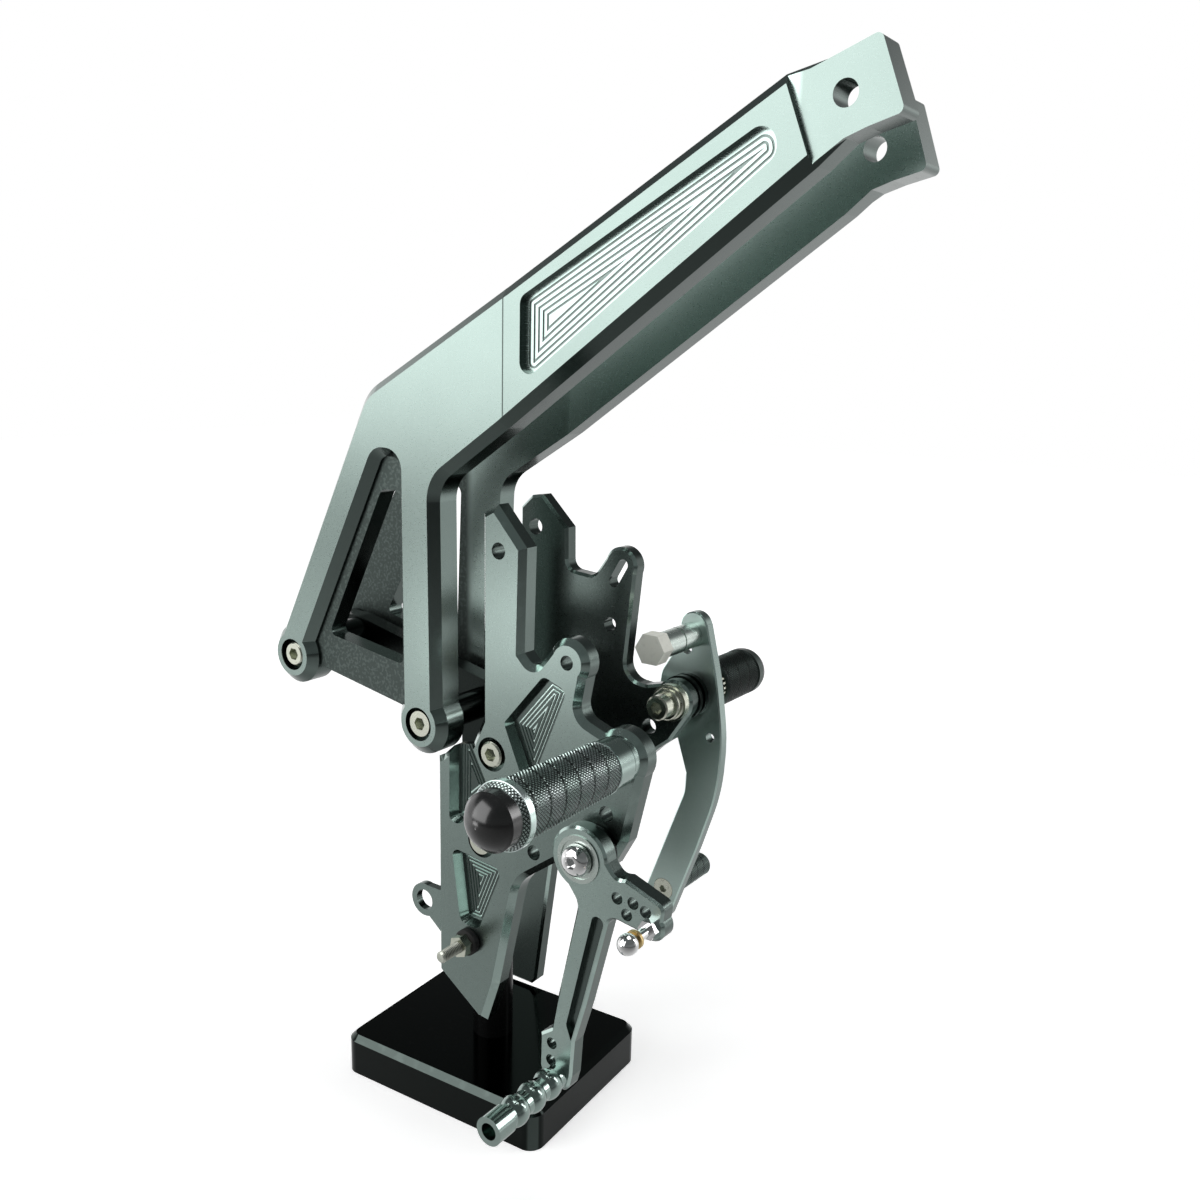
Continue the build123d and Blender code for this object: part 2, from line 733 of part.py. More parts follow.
# Right peg bolt with its stepped washer on the plate's inner face
right_bolt_seat = right_plate_inner - stepped_washer_length
with BuildPart() as stepped_washer:
    discs(right_plate_inner, [right_peg_place], 20, stepped_washer_length / 2)
    discs(right_plate_inner - stepped_washer_length / 2, [right_peg_place], 16.5,
          stepped_washer_length / 2)
    chamfer(stepped_washer.edges().filter_by(GeomType.CIRCLE).sort_by(Axis.Y)[0:3:2], 0.6)
    through_holes([right_peg_place], bolt_hole)
save(stepped_washer.part, "stepped_washer")

# Pedal sleeve: ring against the plate and journal that the pedal's bush turns on
flange_outer = right_plate_outer + pedal_flange_length
pedal_inner = flange_outer + side_gap
pedal_outer = pedal_inner + pedal_thickness
sleeve_end = pedal_outer + side_gap
with BuildPart() as pedal_sleeve:
    discs(flange_outer, [right_peg_place], pedal_flange, pedal_flange_length)
    discs(sleeve_end, [right_peg_place], journal_diameter, sleeve_end - flange_outer)
    with BuildSketch(side_plane(flange_outer - pedal_flange_length * 0.35)):
        with Locations(right_peg_place):
            Circle(pedal_flange)
            Circle(pedal_flange / 2 - 1.2, mode=Mode.SUBTRACT)
    extrude(amount=pedal_flange_length * 0.3, mode=Mode.SUBTRACT)
    through_holes([right_peg_place], bolt_hole)
save(pedal_sleeve.part, "pedal_sleeve")

# Brake pedal: thin curved blade
with BuildPart() as brake_pedal:
    with BuildSketch(side_plane(pedal_outer)):
        rounded([
            (91.3, 251, 0), (98.5, 222, 150), (103.2, 190, 110), (101.5, 160, 110),
            (91, 127, 150), (73, 76, 8), (54.5, 82.5, 8), (81.5, 157, 16), (81.9, 168, 0),
            (74.5, 190, 20), (62.5, 206, 10), (64.5, 222, 10), (75.6, 240, 0),
            (75.4, 249, 0),
        ])
        with Locations(pedal_top_place):
            Circle(8)
    extrude(amount=pedal_thickness)
    chamfer(brake_pedal.faces().sort_by(Axis.Y)[0].edges(), 0.7)
    through_holes([right_peg_place], bush_diameter + 2 * journal_gap)
    through_holes([(80, 236.5)], 5.5)
    through_holes([(95.9, 190.7)], 5)
    through_holes([linkage_place, pedal_toe_place], screw_hole)
    with BuildSketch(side_plane(pedal_inner)):
        with Locations(pedal_toe_place):
            Circle(screw_head / 2 + 1.2)
    extrude(amount=-3, taper=45, mode=Mode.SUBTRACT)
save(brake_pedal.part, "brake_pedal")

with BuildPart() as pedal_bush:
    discs(pedal_outer, [right_peg_place], bush_diameter, pedal_thickness)
    through_holes([right_peg_place], journal_diameter + 2 * journal_gap)
save(pedal_bush.part, "pedal_bush")

# Right peg: collar, toothed ring, barrel and cap on one long bolt
collar_end = sleeve_end + right_collar_length
ring_end = collar_end + tooth_ring_length
right_barrel_end = ring_end + right_barrel_length + right_band_length
with BuildPart() as right_peg_collar:
    discs(collar_end, [right_peg_place], right_collar_diameter, right_collar_length)
    chamfer(right_peg_collar.edges().filter_by(GeomType.CIRCLE), 0.8)
    through_holes([right_peg_place], bolt_hole)
save(right_peg_collar.part, "right_peg_collar")
with BuildPart() as toothed_ring:
    with BuildSketch(side_plane(ring_end)):
        with Locations(right_peg_place):
            Circle(tooth_ring_diameter / 2)
            Circle(bolt_hole / 2, mode=Mode.SUBTRACT)
            with PolarLocations(tooth_ring_diameter / 2, tooth_count):
                RegularPolygon(1.3, 3, rotation=180, mode=Mode.SUBTRACT)
    extrude(amount=tooth_ring_length)
save(toothed_ring.part, "toothed_ring")
with BuildPart() as right_peg_barrel:
    discs(right_barrel_end, [right_peg_place], peg_diameter, right_band_length - 1)
    discs(right_barrel_end - right_band_length + 1, [right_peg_place], right_band_groove, 1)
    discs(right_barrel_end - right_band_length, [right_peg_place], peg_diameter,
          right_barrel_length)
    chamfer(right_peg_barrel.edges().filter_by(GeomType.CIRCLE).sort_by(Axis.Y)[0], 1)
    through_holes([right_peg_place], tapped_hole)
save(right_peg_barrel.part, "right_peg_barrel")
with BuildPart() as right_peg_cap:
    discs(right_barrel_end + right_cap_length, [right_peg_place], right_cap_diameter,
          right_cap_length)
    fillet(right_peg_cap.faces().sort_by(Axis.Y)[-1].edges(), right_cap_length * 0.7)
    discs(right_barrel_end, [right_peg_place], tapped_hole - 2 * seat_gap, cap_spigot_length)
save(right_peg_cap.part, "right_peg_cap")
save(
    socket_bolts(
        [right_peg_place], right_bolt_seat, ring_end + 3 * bolt_bite - right_bolt_seat
    ),
    "right_peg_bolt",
)

# Linkage bolt at the pedal's top: hex head, two-step sleeve, nut behind the blade
sleeve_start = pedal_inner - linkage_sleeve_length
with BuildPart() as linkage_bolt:
    with BuildSketch(side_plane(sleeve_start)):
        with Locations(linkage_place):
            RegularPolygon(linkage_head / 2, 6, major_radius=False)
    extrude(amount=linkage_head_height)
    discs(pedal_outer + nut_thickness + 1, [linkage_place], screw_size,
          pedal_outer + nut_thickness + 1 - sleeve_start)
save(linkage_bolt.part, "linkage_bolt")
with BuildPart() as linkage_sleeve_piece:
    discs(pedal_inner, [linkage_place], linkage_sleeve, linkage_sleeve_length / 2 - 0.5)
    discs(pedal_inner - linkage_sleeve_length / 2 + 0.5, [linkage_place], linkage_sleeve - 1.5, 1)
    discs(sleeve_start + linkage_sleeve_length / 2 - 0.5, [linkage_place], linkage_sleeve,
          linkage_sleeve_length / 2 - 0.5)
    through_holes([linkage_place], screw_hole)
save(linkage_sleeve_piece.part, "linkage_sleeve")
with BuildPart() as linkage_nut:
    with BuildSketch(side_plane(pedal_outer + nut_thickness)):
        with Locations(linkage_place):
            RegularPolygon(nut_width / 2, 6, major_radius=False)
            Circle((screw_size + seat_gap) / 2, mode=Mode.SUBTRACT)
    extrude(amount=nut_thickness)
save(linkage_nut.part, "linkage_nut")

# Toe peg of the brake pedal with its countersunk screw
with BuildPart() as pedal_toe_peg:
    discs(pedal_outer + pedal_toe_length, [pedal_toe_place], pedal_toe_diameter,
          pedal_toe_length)
    chamfer(pedal_toe_peg.faces().sort_by(Axis.Y)[-1].edges(), 1)
    discs(pedal_outer + 16, [pedal_toe_place], screw_size + seat_gap, 16, Mode.SUBTRACT)
save(pedal_toe_peg.part, "pedal_toe_peg")
with BuildPart() as pedal_toe_screw:
    with BuildSketch(side_plane(pedal_inner)):
        with Locations(pedal_toe_place):
            Circle(screw_head / 2 + 1)
    extrude(amount=-2.8, taper=45)
    discs(pedal_outer + 14, [pedal_toe_place], screw_size, pedal_outer + 13 - pedal_inner)
    with BuildSketch(side_plane(pedal_inner)):
        with Locations(pedal_toe_place):
            RegularPolygon(2, 6, major_radius=False)
    extrude(amount=-2, mode=Mode.SUBTRACT)
save(pedal_toe_screw.part, "pedal_toe_screw")
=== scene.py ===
import math

import bpy
from mathutils import Matrix, Vector


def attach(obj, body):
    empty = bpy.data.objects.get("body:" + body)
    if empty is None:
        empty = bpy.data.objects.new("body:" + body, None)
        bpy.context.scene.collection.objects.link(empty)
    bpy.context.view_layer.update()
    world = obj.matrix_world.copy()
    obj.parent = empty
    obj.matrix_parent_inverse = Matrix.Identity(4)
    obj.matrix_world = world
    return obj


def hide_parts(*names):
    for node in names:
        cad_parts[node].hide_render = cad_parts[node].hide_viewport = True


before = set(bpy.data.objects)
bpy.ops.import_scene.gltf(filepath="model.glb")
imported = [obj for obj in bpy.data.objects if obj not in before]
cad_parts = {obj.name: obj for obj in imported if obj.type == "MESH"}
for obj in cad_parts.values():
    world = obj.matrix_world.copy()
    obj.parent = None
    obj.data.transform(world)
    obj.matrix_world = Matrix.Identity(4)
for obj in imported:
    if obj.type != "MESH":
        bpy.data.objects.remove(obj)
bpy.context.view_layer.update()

# Camera, as the photograph was taken
CAMERA_PLACE = (0.3791, -0.4514, 0.397)
CAMERA_YAW = 34.7
CAMERA_PITCH = 12.3
CAMERA_ROLL = 1.3
FOCAL_PIXELS = 1162
FRAME_PIXELS = 1200
VIEW_AHEAD = (-math.sin(math.radians(CAMERA_YAW)), math.cos(math.radians(CAMERA_YAW)))

# Places that the pieces made here share with the solids, in metres, as (x, z)
LEFT_PEG = (0.1092, 0.2183)
RIGHT_PEG = (0.082, 0.218)
TOE_PEG = (0.0705, 0.103)
STOP = (0.0215, 0.1015)

# The arms lean inwards past their bends, which are at these X places in millimetres
LEFT_BEND = 48.0
RIGHT_BEND = 31.0
NO_BEND = 1000.0
BEAM_SLOPE = 0.06

# Outer faces along Y, in millimetres
LEFT_ARM_FACE = -52
RIGHT_ARM_FACE = 27.5
LEFT_PLATE_FACE = -44
LEVER_FACE = -58.2

# Depths behind those faces, in millimetres, as (from, to)
BEAM_POCKET = (3.3, 4.2)
BEAM_GROOVES = (4.3, 5.0)
WEB = (5.6, 6.5)
INNER_FACE = (15.0, 17.0)
PLATE_POCKET = (4.7, 5.2)
PLATE_GROOVES = (5.3, 5.7)
LEVER_RECESS = (2.7, 3.3)
DEPTH_BLUR = 0.2

# The blasted inner faces, tinted dark partly as painted shade, end between these X places, in
# metres
BLASTED_END = (-0.03, -0.024)

# Roughness of the satin anodising, and what blasting adds to it
SATIN = 0.28
BLASTED = 0.2

WHITE = (1, 1, 1, 1)

# Knurls and threads: points to a tooth, welding distance in metres, sharpest smooth edge
STEPS_A_TOOTH = 4
WELD = 0.000004
SHARP_DEGREES = 32

# Half the floor's width in metres, and how brightly it glows beside the object
FLOOR_EDGE = 4.0
FLOOR_GLOW = 0.6


class Value:
    """A socket that gives a number or colour and can be used in sums."""

    def __init__(self, maker, socket):
        self.maker = maker
        self.socket = socket

    def __add__(self, other):
        return self.maker.maths("ADD", self, other)

    def __radd__(self, other):
        return self.maker.maths("ADD", other, self)

    def __sub__(self, other):
        return self.maker.maths("SUBTRACT", self, other)

    def __rsub__(self, other):
        return self.maker.maths("SUBTRACT", other, self)

    def __mul__(self, other):
        return self.maker.maths("MULTIPLY", self, other)

    def __rmul__(self, other):
        return self.maker.maths("MULTIPLY", other, self)

    def __abs__(self):
        return self.maker.maths("ABSOLUTE", self)


class Maker:
    """Adds nodes to one tree."""

    def __init__(self, tree):
        self.tree = tree

    def node(self, kind, settings=None, values=None, out=0):
        """One node: its settings first, then its sockets' values or links."""
        new = self.tree.nodes.new(kind)
        for name, setting in (settings or {}).items():
            setattr(new, name, setting)
        for key, value in (values or {}).items():
            socket = new.inputs[key]
            if isinstance(value, Value):
                self.tree.links.new(value.socket, socket)
            else:
                socket.default_value = value
        return Value(self, new.outputs[out]) if new.outputs else new

    def maths(self, operation, *terms):
        """One sum of numbers and sockets."""
        return self.node("ShaderNodeMath", {"operation": operation}, dict(enumerate(terms)))

    def smooth(self, value, low, high):
        """0 below low, 1 above high, with a soft step between."""
        return self.node(
            "ShaderNodeMapRange",
            {"interpolation_type": "SMOOTHSTEP"},
            {"Value": value, "From Min": low, "From Max": high},
        )

    def mix(self, mask, first, second):
        """Colour that goes from first to second as the mask goes from 0 to 1."""
        values = {0: mask, 6: first, 7: second}
        return self.node("ShaderNodeMix", {"data_type": "RGBA"}, values, out=2)

    def ray(self, kind):
        """1 for rays of this kind."""
        return self.node("ShaderNodeLightPath", out=f"Is {kind} Ray")

    def axes(self, vector):
        """The three numbers of a vector."""
        parts = self.tree.nodes.new("ShaderNodeSeparateXYZ")
        self.tree.links.new(vector.socket, parts.inputs[0])
        return [Value(self, socket) for socket in parts.outputs]

    def noise(self, place, size, detail=2.0, stretch=(1, 1, 1)):
        """Cloudy pattern whose blots are about size metres across."""
        if stretch != (1, 1, 1):
            place = self.node("ShaderNodeMapping", {}, {"Vector": place, "Scale": stretch})
        return self.node(
            "ShaderNodeTexNoise", {}, {"Vector": place, "Scale": 1 / size, "Detail": detail}
        )


def grey(level, green=0.0, blue=0.0):
    """A neutral colour with a little green or blue in it."""
    return (level, level + green, level + blue, 1)


class Finish(Maker):
    """A material whose surface is filled in node by node."""

    def __init__(self, name, metallic=1.0, **constants):
        self.material = bpy.data.materials.new(name)
        self.material.use_nodes = True
        super().__init__(self.material.node_tree)
        self.surface = self.tree.nodes["Principled BSDF"]
        self.surface.inputs["Metallic"].default_value = metallic
        for socket, value in constants.items():
            self.surface.inputs[socket.replace("_", " ")].default_value = value
        self.place = self.node("ShaderNodeTexCoord", out="Object")
        self.facing = self.node("ShaderNodeTexCoord", out="Normal")

    def blots(self, size, detail, low, high):
        """Soft patches about size metres across."""
        return self.smooth(self.noise(self.place, size, detail), low, high)

    def turning_rings(self, scale, detail):
        """Fine rings round the Y axis."""
        across = self.axes(self.place)[1]
        values = {"W": across, "Scale": scale, "Detail": detail}
        return self.node("ShaderNodeTexNoise", {"noise_dimensions": "1D"}, values)

    def wear(self, colour, roughness=None, bump=None, depth=0.00002):
        """Fills the surface's sockets and gives the finished material."""
        self.tree.links.new(colour.socket, self.surface.inputs["Base Color"])
        if roughness is not None:
            self.tree.links.new(roughness.socket, self.surface.inputs["Roughness"])
        if bump is not None:
            relief = self.node(
                "ShaderNodeBump", {}, {"Height": bump, "Strength": 0.6, "Distance": depth}
            )
            self.tree.links.new(relief.socket, self.surface.inputs["Normal"])
        return self.material


def bevels(finish):
    """Masks of the sloped edges, of the cut sides and of what faces down."""
    y, z = finish.axes(finish.facing)[1:]
    face_on = finish.smooth(abs(y), 0.25, 0.45)
    off_face = 1 - finish.smooth(abs(y), 0.85, 0.95)
    return face_on * off_face, 1 - face_on, off_face * finish.smooth(z * -1, 0.0, 0.6)


def fine_scratches(finish, spacing=0.004):
    """Faint hairlines at two angles."""
    one = finish.noise(finish.place, spacing, 2.0, (1.0, 1.0, 22.0))
    two = finish.noise(finish.place, spacing, 2.0, (19.0, 1.0, 1.6))
    return finish.smooth(one, 0.62, 0.72) * 0.6 + finish.smooth(two, 0.64, 0.74) * 0.4


def shade(tint, factor):
    """The same colour, lighter or darker."""
    return tuple(min(0.95, factor * level) for level in tint[:3]) + (1,)


def anodised(name, tint, roughness, edges, cuts=()):
    """Satin anodised aluminium.

    Edges are the lightness of bevels, cut sides and undersides against the faces: the bevels'
    tone is partly a machined edge and partly painted highlight, and the darker cut sides and
    undersides are painted shade. Cuts are areas as (mask, tint, roughness to add).
    """
    finish = Finish(name)
    cloud = finish.noise(finish.place, 0.05, 3.0)
    grain = finish.noise(finish.place, 0.0007, 2.0)
    scratches = fine_scratches(finish)
    sloped, sides, low = bevels(finish)
    scuffs = finish.blots(0.006, 4.0, 0.5, 0.7)
    colour = finish.mix(cloud, shade(tint, 0.88), shade(tint, 1.06))
    colour = finish.mix(scratches * 0.3, colour, shade(tint, 1.8))
    # Bevel tone: partly a machined edge, partly a painted highlight
    colour = finish.mix(sloped * (0.8 + scuffs * 0.2), colour, shade(tint, edges[0]))
    # Cut sides painted darker: painted shade
    colour = finish.mix(sides, colour, shade(tint, edges[1]))
    # What faces down painted darker: painted shade
    colour = finish.mix(low * 0.9, colour, shade(tint, edges[2]))
    rough = roughness + (grain - 0.5) * 0.05 + scratches * 0.08 - sloped * 0.14 - sides * 0.08
    relief = grain * 0.12 + scratches * 0.2
    for area, area_tint, rougher in cuts:
        mask = area(finish)
        colour = finish.mix(mask, colour, area_tint)
        rough = rough + mask * rougher
        if rougher == BLASTED:
            blasted = finish.noise(finish.place, 0.0016, 4.0)
            speckles = finish.smooth(blasted, 0.48, 0.62) * mask
            colour = finish.mix(speckles * 0.5, colour, shade(area_tint, 2.0))
            relief = relief + blasted * mask * 3
    return finish.wear(colour, rough, relief)


def depth_behind(finish, face, side, bend):
    """How far a point lies behind a plate's outer face, in millimetres."""
    x, y = finish.axes(finish.place)[:2]
    lean = finish.maths("MAXIMUM", x * 1000 - bend, 0.0) * BEAM_SLOPE
    return (y * 1000 - face) * side - lean


def sunk_floor(face, depths, side=1, bend=NO_BEND):
    """Mask of the flat bottoms that lie between two depths behind a face."""
    low, high = depths

    def mask(finish):
        flat = finish.smooth(abs(finish.axes(finish.facing)[1]), 0.97, 0.99)
        depth = depth_behind(finish, face, side, bend)
        past_low = finish.smooth(depth, low - DEPTH_BLUR, low)
        past_high = finish.smooth(depth, high, high + DEPTH_BLUR)
        return past_low * (1 - past_high) * flat

    return mask


def inner_web(face, side, bend):
    """Mask of the blasted inner faces of an arm's lower frame, tinted dark partly as painted
    shade.
    """

    def mask(finish):
        inner = sunk_floor(face, INNER_FACE, side, bend)(finish)
        return inner * (1 - finish.smooth(finish.axes(finish.place)[0], *BLASTED_END))

    return mask


def bend_line(bend):
    """Mask of the fine line where the beam's leaning face starts."""

    def mask(finish):
        off = abs(finish.axes(finish.place)[0] * 1000 - bend)
        facing = finish.smooth(finish.axes(finish.facing)[1] * -1, 0.9, 0.95)
        return (1 - finish.smooth(off, 0.15, 0.5)) * facing

    return mask


def knurled_metal(name, tint, groove_shade_tint, roughness):
    """Anodised knurling: rubbed crests, painted shade in grooves, turning rings on plain parts.
    """
    finish = Finish(name)
    groove = finish.node("ShaderNodeAttribute", {"attribute_name": "groove"}, out="Fac")
    rings = finish.turning_rings(3200.0, 1.0)
    rubbed = finish.blots(0.012, 3.0, 0.4, 0.65)
    colour = finish.mix(rubbed, tint, shade(tint, 1.35))
    colour = finish.mix(rings * 0.3, colour, shade(tint, 0.6))
    # Painted shade: the grooves darker than the crests
    colour = finish.mix(finish.smooth(groove, 0.15, 0.8), colour, groove_shade_tint)
    return finish.wear(colour, roughness + rings * 0.1 + groove * 0.15, rings, 0.00001)


def steel(name, tint, roughness, handling=1.0, metallic=1.0):
    """Turned metal with fine rings and handling marks of this strength."""
    finish = Finish(name, metallic)
    rings = finish.turning_rings(2600.0, 2.0)
    marks = finish.blots(0.003, 4.0, 0.5, 0.72) * handling
    colour = finish.mix(marks * 0.6 + rings * 0.25, tint, shade(tint, 0.72))
    return finish.wear(colour, roughness + marks * 0.12 + rings * 0.06, rings + marks, 0.00001)


def bright_chrome(name):
    """Polished chrome with faint fingerprints."""
    finish = Finish(name)
    prints = finish.blots(0.004, 5.0, 0.5, 0.75)
    colour = finish.mix(prints, grey(0.82), grey(0.7, 0.01, 0.01))
    return finish.wear(colour, 0.06 + prints * 0.1, prints, 0.000004)


def black_gloss(name, level, roughness, shine):
    """Glossy black with dust specks, faint swirls and an uneven skin."""
    finish = Finish(name, 0.0, Specular_IOR_Level=shine)
    swirl = finish.noise(finish.place, 0.02, 4.0)
    dust = finish.blots(0.0012, 2.0, 0.72, 0.8)
    scratches = fine_scratches(finish, 0.006)
    colour = finish.mix(swirl, grey(level), grey(level * 1.5, 0.0005, 0.0005))
    colour = finish.mix(dust * 0.15 + scratches * 0.04, colour, grey(0.15))
    return finish.wear(colour, roughness + swirl * 0.08 + scratches * 0.1, swirl, 0.00002)


def soft_rubber(name):
    """Matt black rubber with a dusty mould skin."""
    finish = Finish(name, 0.0)
    skin = finish.noise(finish.place, 0.0008, 3.0)
    bloom = finish.blots(0.006, 3.0, 0.45, 0.7)
    colour = finish.mix(bloom, grey(0.012), grey(0.035))
    return finish.wear(colour, 0.7 + skin * 0.2, skin, 0.00006)


def tarnished_brass(name):
    """Warm brass with darker tarnish."""
    finish = Finish(name)
    tarnish = finish.blots(0.003, 4.0, 0.4, 0.7)
    colour = finish.mix(tarnish, (0.72, 0.55, 0.26, 1), (0.42, 0.31, 0.15, 1))
    return finish.wear(colour, 0.28 + tarnish * 0.15, tarnish, 0.00001)


def dress(material, *names):
    """Gives CAD nodes this material."""
    for name in names:
        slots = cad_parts[name].data.materials
        slots.clear()
        slots.append(material)


def mint_grey(level):
    """The anodising's cool green-grey at this lightness."""
    return (0.80 * level, level, 0.93 * level, 1)


def arm_satin(name, face, side, bend, marks=()):
    """An arm's finish: pale pocket with darker grooves; blasted web and inner faces, partly
    painted shade.
    """
    return anodised(name, mint_grey(0.33), SATIN, (0.8, 0.6, 0.25), (
        (sunk_floor(face, BEAM_POCKET, side, bend), mint_grey(0.55), -0.04),
        (sunk_floor(face, BEAM_GROOVES, side, bend), mint_grey(0.20), 0.0),
        # Web and inner faces: blasted, and tinted dark partly by that finish and partly as
        # painted shade
        (sunk_floor(face, WEB, side, bend), mint_grey(0.07), BLASTED),
        (inner_web(face, side, bend), mint_grey(0.06), BLASTED),
        *marks,
    ))


arm_finish = arm_satin("arm satin", LEFT_ARM_FACE, 1, LEFT_BEND,
                       [(bend_line(LEFT_BEND), mint_grey(0.06), 0.0)])
far_arm_finish = arm_satin("far arm satin", RIGHT_ARM_FACE, -1, RIGHT_BEND)
plate_finish = anodised("plate satin", mint_grey(0.25), SATIN, (2.4, 0.6, 0.4), (
    (sunk_floor(LEFT_PLATE_FACE, PLATE_POCKET), mint_grey(0.10), -0.06),
    (sunk_floor(LEFT_PLATE_FACE, PLATE_GROOVES), mint_grey(0.8), -0.1),
))
dark_plate_finish = anodised("dark plate satin", mint_grey(0.13), SATIN, (5.0, 0.7, 1.0))
lever_finish = anodised("lever satin", mint_grey(0.46), SATIN, (1.8, 0.35, 0.25), (
    (sunk_floor(LEVER_FACE, LEVER_RECESS), mint_grey(0.12), -0.06),
))
pedal_finish = anodised("pedal satin", mint_grey(0.68), 0.30, (1.3, 0.45, 0.25))
black_finish = anodised("black anodised", mint_grey(0.018), SATIN, (2.0, 1.0, 1.0))
peg_finish = knurled_metal("peg knurling", mint_grey(0.8), mint_grey(0.04), 0.17)
dark_peg_finish = knurled_metal("dark peg knurling", mint_grey(0.08), mint_grey(0.01), 0.25)
toe_finish = knurled_metal("toe peg knurling", mint_grey(0.42), mint_grey(0.04), 0.24)
collar_finish = steel("turned collar", mint_grey(0.42), 0.1, 0.15)
thread_finish = knurled_metal("steel thread", (0.5, 0.52, 0.46, 1), (0.12, 0.12, 0.1, 1), 0.3)
pale_zinc = steel("pale zinc plating", (0.94, 0.95, 0.86, 1), 0.4, 0.5, 0.12)
stainless = steel("stainless steel", (0.60, 0.62, 0.53, 1), 0.18, 0.5)
zinc_steel = steel("zinc plated steel", (0.55, 0.62, 0.58, 1), 0.22, 0.4)
chrome = bright_chrome("bright chrome")
base_black = anodised("polished black base", mint_grey(0.014), 0.2, (6.0, 1.0, 1.0))
post_black = black_gloss("black steel post", 0.003, 0.2, 0.1)
cap_black = black_gloss("gloss black cap", 0.006, 0.16, 0.85)
rubber = soft_rubber("black rubber")
brass = tarnished_brass("brass")

dress(arm_finish, "left_arm")
dress(far_arm_finish, "right_arm")
dress(plate_finish, "left_plate")
dress(dark_plate_finish, "right_plate")
dress(lever_finish, "shift_lever")
dress(pedal_finish, "brake_pedal")
dress(post_black, "post")
dress(black_finish, "lever_spacer", "pedal_sleeve", "right_peg_collar", "stand_head",
      "left_front_spacer", "left_rear_spacer", "right_front_spacer", "right_rear_spacer")
dress(collar_finish, "left_peg_collar", "shift_toe_peg")
dress(stainless, "left_arm_bolts", "right_arm_bolts", "left_plate_bolts", "right_plate_bolts",
      "right_peg_bolt", "left_peg_bolt", "linkage_nut", "toothed_ring",
      "pedal_toe_screw", "shift_toe_screw", "fork_screw", "fork_nut", "stop_nut",
      "stepped_washer")
dress(zinc_steel, "left_plate_spacers", "right_plate_spacers", "lever_bearing",
      "linkage_sleeve")
dress(pale_zinc, "linkage_bolt")
dress(chrome, "lever_bolt", "ball_stud")
dress(base_black, "base")
dress(cap_black, "left_peg_cap", "right_peg_cap")
dress(rubber, "stop_washer")
dress(brass, "stud_washer", "pedal_bush")


# Knurled and threaded pieces
def relief_tree():
    """Adds a knurled or threaded wall to a turned body and joins their rims."""
    tree = bpy.data.node_groups.new("knurled wall", "GeometryNodeTree")
    tree.is_modifier = True
    lengths = ["Across", "Height", "Start", "Length", "Start Radius", "End Radius", "Depth",
               "Crossed", "Spiral Depth", "Spiral Sharpness"]
    counts = ["Starts", "Rows", "Spiral Starts", "Spiral Rows", "Around", "Along"]
    sockets = [("Body", "Geometry")] + [(name, "Float") for name in lengths]
    sockets += [(name, "Int") for name in counts] + [("Finish", "Material")]
    for name, kind in sockets:
        tree.interface.new_socket(name, in_out="INPUT", socket_type=f"NodeSocket{kind}")
    tree.interface.new_socket("Piece", in_out="OUTPUT", socket_type="NodeSocketGeometry")
    make = Maker(tree)
    entry = tree.nodes.new("NodeGroupInput")
    given = {socket.name: Value(make, socket) for socket in entry.outputs}

    def tooth(turns):
        """0 in a groove and 1 on a crest, once for each whole turn."""
        return make.maths("PINGPONG", turns, 0.5) * 2

    wall = make.node("GeometryNodeMeshGrid", {}, {
        "Size X": 1.0, "Size Y": 1.0,
        "Vertices X": given["Around"] + 1, "Vertices Y": given["Along"] + 1,
    })
    flat_x, flat_y = make.axes(make.node("GeometryNodeInputPosition"))[:2]
    round_part = flat_x + 0.5
    long_part = flat_y + 0.5
    one_way = tooth(round_part * given["Starts"] + long_part * given["Rows"])
    other_way = tooth(round_part * given["Starts"] - long_part * given["Rows"])
    other_way = make.maths("MAXIMUM", other_way, 1 - given["Crossed"])
    spiral = tooth(round_part * given["Spiral Starts"] + long_part * given["Spiral Rows"])
    spiral = make.maths("MINIMUM", spiral * given["Spiral Sharpness"], 1.0)
    crest = make.maths("MINIMUM", one_way, other_way)
    crest = crest * (1 - given["Spiral Depth"] * (1 - spiral))
    steps_in = make.maths("MINIMUM", long_part, 1 - long_part) * given["Along"]
    groove = (1 - crest) * make.maths("MINIMUM", steps_in, 1.0)
    taper = (given["End Radius"] - given["Start Radius"]) * long_part
    radius = given["Start Radius"] + taper - groove * given["Depth"]
    angle = round_part * math.tau
    place = make.node("ShaderNodeCombineXYZ", {}, {
        "X": given["Across"] + radius * make.maths("COSINE", angle),
        "Y": given["Start"] - long_part * given["Length"],
        "Z": given["Height"] + radius * make.maths("SINE", angle),
    })
    marked = make.node("GeometryNodeStoreNamedAttribute",
                       {"data_type": "FLOAT", "domain": "POINT"},
                       {"Geometry": wall, "Name": "groove", "Value": groove})
    bent = make.node("GeometryNodeSetPosition", {}, {"Geometry": marked, "Position": place})
    both = make.node("GeometryNodeJoinGeometry", {}, {"Geometry": given["Body"]})
    tree.links.new(bent.socket, both.socket.node.inputs["Geometry"])
    welded = make.node("GeometryNodeMergeByDistance", {}, {"Geometry": both, "Distance": WELD})
    solid = make.node("GeometryNodeRealizeInstances", {}, {"Geometry": welded})
    painted = make.node("GeometryNodeSetMaterial", {},
                        {"Geometry": solid, "Material": given["Finish"]})
    make.node("NodeGroupOutput", {}, {"Piece": painted})
    return tree


RELIEF = relief_tree()


